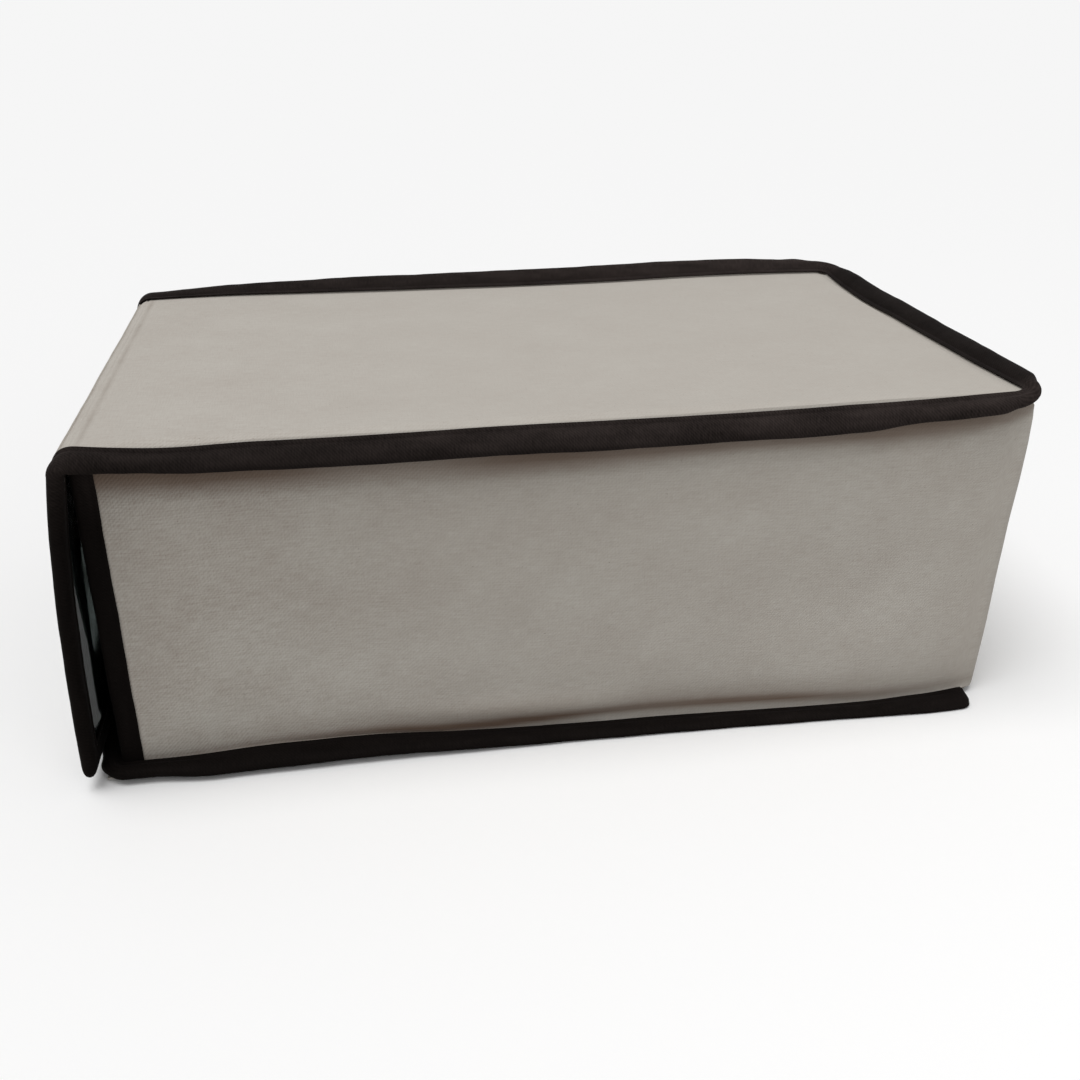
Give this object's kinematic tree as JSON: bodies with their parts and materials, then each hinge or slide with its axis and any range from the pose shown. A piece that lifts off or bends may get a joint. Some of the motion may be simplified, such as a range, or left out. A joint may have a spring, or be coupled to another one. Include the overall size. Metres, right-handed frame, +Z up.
{
  "type": "drop-front shoe box",
  "caption": "Cloth-covered card shoe box with dark bound edges and a front flap that lifts and folds back on a cloth hinge.",
  "frame": {"origin": "under the middle of the footprint, on the ground", "axes": "+X from the front flap to the back, +Y away from the side seen in the picture, +Z up"},
  "size_m": [0.3555, 0.211, 0.1317],
  "materials": {
    "canvas": "matte cotton and linen canvas",
    "tape": "dark twill binding tape",
    "lining": "dark non-woven lining",
    "card": "grey board",
    "vinyl": "clear soft vinyl"
  },
  "bodies": {
    "case": {"top_board": "card", "bottom_board": "card", "near_side_board": "card", "far_side_board": "card", "back_board": "card", "top_cover": "canvas", "side_wrap": "canvas", "bottom_cover": "canvas", "top_lining": "lining", "wall_lining": "lining", "bottom_lining": "lining", "top_binding": "tape", "bottom_binding": "tape", "front_near_binding": "tape", "front_far_binding": "tape"},
    "fold_strip": {"fold_canvas": "canvas", "fold_lining": "lining", "fold_near_binding": "tape", "fold_far_binding": "tape"},
    "flap": {"flap_cover": "canvas", "flap_frame": "card", "flap_window": "vinyl", "window_trim": "tape", "flap_binding": "tape"}
  },
  "joints": [
    {"name": "upper_crease", "type": "hinge", "parent": "case", "child": "fold_strip", "pos_m": [-0.16255, 0, 0.1272], "axis": [0, 1, 0], "range_deg": [0, 133]},
    {"name": "lower_crease", "type": "hinge", "parent": "fold_strip", "child": "flap", "pos_m": [-0.16883, 0, 0.12139], "axis": [0, 1, 0], "range_deg": [0, 133]}
  ],
  "couplings": [
    {"joint": "lower_crease", "follows": "upper_crease", "ratio": 1}
  ]
}
